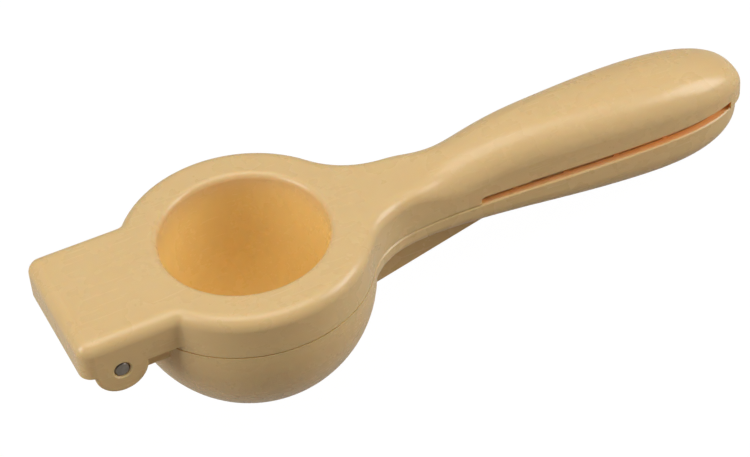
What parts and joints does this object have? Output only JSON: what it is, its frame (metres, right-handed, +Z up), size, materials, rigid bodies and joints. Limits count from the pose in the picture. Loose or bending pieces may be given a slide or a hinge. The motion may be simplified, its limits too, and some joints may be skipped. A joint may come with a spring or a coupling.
{
  "type": "hinged citrus squeezer",
  "caption": "Hand citrus squeezer: a press cup on the upper lever closes into a strainer bowl on the lower one, and long handles squeeze them together round a steel hinge pin.",
  "frame": {"origin": "centre of the flat foot under the strainer bowl", "axes": "+X along the handles to their rounded tip, +Z up out of the press cup's mouth, Y across, along the hinge pin"},
  "size_m": [0.2151, 0.0714, 0.0545],
  "materials": {
    "lever_plastic": "smooth moulded, softly glossy, slightly translucent pale yellow",
    "pin_steel": "drawn steel wire, satin"
  },
  "bodies": {
    "lower": {"lower_lever": "lever_plastic"},
    "upper": {"upper_lever": "lever_plastic", "hinge_pin": "pin_steel"}
  },
  "joints": [
    {"name": "hinge", "type": "hinge", "parent": "lower", "child": "upper", "pos_m": [-0.04605, 0, 0.03766], "axis": [0, -1, 0], "range_deg": [0, 120]}
  ]
}
